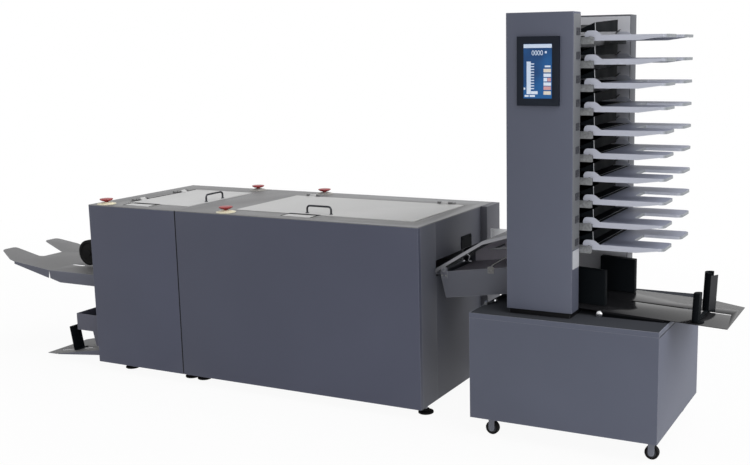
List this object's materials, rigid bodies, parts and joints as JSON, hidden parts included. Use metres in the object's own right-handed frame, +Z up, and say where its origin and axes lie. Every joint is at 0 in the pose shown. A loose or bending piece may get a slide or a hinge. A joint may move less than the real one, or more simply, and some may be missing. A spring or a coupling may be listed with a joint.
{
  "type": "booklet maker",
  "caption": "Floor-standing booklet line: a vertical bin collator on casters feeds a stitching, folding and trimming cabinet with lids and a forked catch tray.",
  "frame": {"origin": "on the floor, under the middle of the whole line", "axes": "+X along the line from the catch tray to the collator, +Y from the front to the rear, +Z up"},
  "size_m": [3.365, 0.75, 1.5],
  "materials": {
    "frame_paint": "satin dark paint",
    "charcoal_paint": "fine-textured powder coat, charcoal",
    "panel_grey": "fine-textured powder coat, dark grey",
    "top_grey": "satin powder coat, mid grey",
    "steel": "brushed",
    "lid_grey": "satin powder coat, light grey",
    "black_plastic": "moulded, matt black",
    "rubber": "matt",
    "yellow_plastic": "moulded",
    "red_plastic": "moulded, glossy",
    "machine_grey": "machined",
    "wire": "wound wire",
    "chute_grey": "fine-textured powder coat",
    "tray_grey": "fine-textured powder coat",
    "bridge_grey": "fine-textured powder coat",
    "cover_grey": "satin powder coat with a bright edge",
    "collator_grey": "fine-textured powder coat",
    "spine_grey": "fine-textured powder coat",
    "bin_grey": "satin powder coat"
  },
  "bodies": {
    "line": {"base_frames": "frame_paint", "front_panels": "charcoal_paint", "rear_panels": "charcoal_paint", "end_panels": "panel_grey", "top_frames": "top_grey", "lid_hinges": "steel", "lower_blade": "steel", "paper_deck": "steel", "clincher_bar": "steel", "caster_mounts": "steel", "bin_brackets": "steel", "feed_units": "black_plastic", "touch_screen": "black_plastic", "stack_guides": "black_plastic", "levelling_feet": "rubber", "estop_bases": "yellow_plastic", "waste_chute": "chute_grey", "catch_tray": "tray_grey", "lower_tray": "tray_grey", "stacker_tray": "tray_grey", "bridge_body": "bridge_grey", "collator_cabinet": "collator_grey", "tower_front_column": "collator_grey", "tower_rear_column": "collator_grey", "tower_frame": "spine_grey"},
    "trimmer_lid": {"trimmer_lid": "lid_grey", "trimmer_lid_handle": "black_plastic"},
    "stitcher_lid": {"stitcher_lid": "lid_grey", "stitcher_lid_handle": "black_plastic"},
    "estop_button_1": {"estop_button_1": "red_plastic"},
    "estop_button_2": {"estop_button_2": "red_plastic"},
    "estop_button_3": {"estop_button_3": "red_plastic"},
    "estop_button_4": {"estop_button_4": "red_plastic"},
    "upper_blade": {"upper_blade": "steel"},
    "stitch_heads": {"stitch_heads": "machine_grey"},
    "fold_knife": {"fold_knife": "steel"},
    "fold_roller_left": {"fold_roller_left": "rubber"},
    "fold_roller_right": {"fold_roller_right": "rubber"},
    "wire_spools": {"wire_spools": "wire"},
    "delivery_wheel": {"delivery_wheel": "rubber"},
    "lower_tray_stop": {"lower_tray_stop": "black_plastic"},
    "bridge_cover": {"bridge_cover": "cover_grey"},
    "caster_fork_1": {"caster_fork_1": "steel"},
    "caster_wheel_1": {"caster_wheel_1": "rubber"},
    "caster_fork_2": {"caster_fork_2": "steel"},
    "caster_wheel_2": {"caster_wheel_2": "rubber"},
    "caster_wheel_3": {"caster_wheel_3": "rubber"},
    "caster_wheel_4": {"caster_wheel_4": "rubber"},
    "bin_1": {"bin_1": "bin_grey"},
    "bin_2": {"bin_2": "bin_grey"},
    "bin_3": {"bin_3": "bin_grey"},
    "bin_4": {"bin_4": "bin_grey"},
    "bin_5": {"bin_5": "bin_grey"},
    "bin_6": {"bin_6": "bin_grey"},
    "bin_7": {"bin_7": "bin_grey"},
    "bin_8": {"bin_8": "bin_grey"},
    "bin_9": {"bin_9": "bin_grey"},
    "bin_10": {"bin_10": "bin_grey"},
    "stacker_stop": {"stacker_stop": "black_plastic"},
    "lock_lever": {"lock_lever": "steel"}
  },
  "joints": [
    {"name": "trimmer_lid_hinge", "type": "hinge", "parent": "line", "child": "trimmer_lid", "pos_m": [-0.9025, 0.015, 0.7488], "axis": [0, -1, 0], "range_deg": [0, 75]},
    {"name": "stitcher_lid_hinge", "type": "hinge", "parent": "line", "child": "stitcher_lid", "pos_m": [0.0855, 0.24, 0.7488], "axis": [-1, 0, 0], "range_deg": [0, 75]},
    {"name": "estop_press_1", "type": "slide", "parent": "line", "child": "estop_button_1", "axis": [0, 0, -1], "range_m": [0, 0.003], "stiffness_N_per_m": 800, "springref_m": -0.004},
    {"name": "estop_press_2", "type": "slide", "parent": "line", "child": "estop_button_2", "axis": [0, 0, -1], "range_m": [0, 0.003], "stiffness_N_per_m": 800, "springref_m": -0.004},
    {"name": "estop_press_3", "type": "slide", "parent": "line", "child": "estop_button_3", "axis": [0, 0, -1], "range_m": [0, 0.003], "stiffness_N_per_m": 800, "springref_m": -0.004},
    {"name": "estop_press_4", "type": "slide", "parent": "line", "child": "estop_button_4", "axis": [0, 0, -1], "range_m": [0, 0.003], "stiffness_N_per_m": 800, "springref_m": -0.004},
    {"name": "upper_blade_stroke", "type": "slide", "parent": "line", "child": "upper_blade", "axis": [0, 0, -1], "range_m": [0, 0.04]},
    {"name": "stitch_stroke", "type": "slide", "parent": "line", "child": "stitch_heads", "axis": [0, 0, -1], "range_m": [0, 0.004]},
    {"name": "fold_knife_stroke", "type": "slide", "parent": "line", "child": "fold_knife", "axis": [0, 0, -1], "range_m": [0, 0.04]},
    {"name": "fold_roller_left_spin", "type": "hinge", "parent": "line", "child": "fold_roller_left", "pos_m": [-0.2513, -0.055, 0.505], "axis": [0, 1, 0], "continuous": true},
    {"name": "fold_roller_right_spin", "type": "hinge", "parent": "line", "child": "fold_roller_right", "pos_m": [-0.2007, -0.055, 0.505], "axis": [0, 1, 0], "continuous": true},
    {"name": "wire_spool_spin", "type": "hinge", "parent": "line", "child": "wire_spools", "pos_m": [0.374, -0.055, 0.64], "axis": [0, 1, 0], "continuous": true},
    {"name": "delivery_wheel_spin", "type": "hinge", "parent": "line", "child": "delivery_wheel", "pos_m": [-1.2155, -0.137, 0.486], "axis": [0, 1, 0], "continuous": true},
    {"name": "lower_tray_stop_slide", "type": "slide", "parent": "line", "child": "lower_tray_stop", "axis": [0.9848, 0, 0.1736], "range_m": [-0.1, 0.06]},
    {"name": "bridge_cover_hinge", "type": "hinge", "parent": "line", "child": "bridge_cover", "pos_m": [0.6175, -0.055, 0.566], "axis": [0, -1, 0], "range_deg": [0, 35]},
    {"name": "caster_swivel_1", "type": "hinge", "parent": "line", "child": "caster_fork_1", "pos_m": [0.8505, -0.32, 0.06], "axis": [0, 0, 1], "continuous": true},
    {"name": "caster_spin_1", "type": "hinge", "parent": "caster_fork_1", "child": "caster_wheel_1", "pos_m": [0.8685, -0.32, 0.025], "axis": [0, 1, 0], "continuous": true},
    {"name": "caster_swivel_2", "type": "hinge", "parent": "line", "child": "caster_fork_2", "pos_m": [1.4395, -0.32, 0.06], "axis": [0, 0, 1], "continuous": true},
    {"name": "caster_spin_2", "type": "hinge", "parent": "caster_fork_2", "child": "caster_wheel_2", "pos_m": [1.4575, -0.32, 0.025], "axis": [0, 1, 0], "continuous": true},
    {"name": "caster_spin_3", "type": "hinge", "parent": "line", "child": "caster_wheel_3", "pos_m": [0.8965, 0.16, 0.025], "axis": [0, 1, 0], "continuous": true},
    {"name": "caster_spin_4", "type": "hinge", "parent": "line", "child": "caster_wheel_4", "pos_m": [1.4295, 0.16, 0.025], "axis": [0, 1, 0], "continuous": true},
    {"name": "bin_tilt_1", "type": "hinge", "parent": "line", "child": "bin_1", "pos_m": [1.2005, -0.055, 1.415], "axis": [0, -1, 0], "range_deg": [0, 6]},
    {"name": "bin_tilt_2", "type": "hinge", "parent": "line", "child": "bin_2", "pos_m": [1.2005, -0.055, 1.336], "axis": [0, -1, 0], "range_deg": [0, 6]},
    {"name": "bin_tilt_3", "type": "hinge", "parent": "line", "child": "bin_3", "pos_m": [1.2005, -0.055, 1.257], "axis": [0, -1, 0], "range_deg": [0, 6]},
    {"name": "bin_tilt_4", "type": "hinge", "parent": "line", "child": "bin_4", "pos_m": [1.2005, -0.055, 1.178], "axis": [0, -1, 0], "range_deg": [0, 6]},
    {"name": "bin_tilt_5", "type": "hinge", "parent": "line", "child": "bin_5", "pos_m": [1.2005, -0.055, 1.099], "axis": [0, -1, 0], "range_deg": [0, 6]},
    {"name": "bin_tilt_6", "type": "hinge", "parent": "line", "child": "bin_6", "pos_m": [1.2005, -0.055, 1.02], "axis": [0, -1, 0], "range_deg": [0, 6]},
    {"name": "bin_tilt_7", "type": "hinge", "parent": "line", "child": "bin_7", "pos_m": [1.2005, -0.055, 0.941], "axis": [0, -1, 0], "range_deg": [0, 6]},
    {"name": "bin_tilt_8", "type": "hinge", "parent": "line", "child": "bin_8", "pos_m": [1.2005, -0.055, 0.862], "axis": [0, -1, 0], "range_deg": [0, 6]},
    {"name": "bin_tilt_9", "type": "hinge", "parent": "line", "child": "bin_9", "pos_m": [1.2005, -0.055, 0.783], "axis": [0, -1, 0], "range_deg": [0, 6]},
    {"name": "bin_tilt_10", "type": "hinge", "parent": "line", "child": "bin_10", "pos_m": [1.2005, -0.055, 0.704], "axis": [0, -1, 0], "range_deg": [0, 6]},
    {"name": "stacker_stop_slide", "type": "slide", "parent": "line", "child": "stacker_stop", "axis": [0.9989, 0, -0.0469], "range_m": [-0.15, 0.06]},
    {"name": "lock_lever_turn", "type": "hinge", "parent": "line", "child": "lock_lever", "pos_m": [0.8125, -0.245, 0.466], "axis": [0, 0, 1], "range_deg": [-45, 45]}
  ],
  "couplings": [
    {"joint": "fold_roller_right_spin", "follows": "fold_roller_left_spin", "ratio": -1}
  ]
}
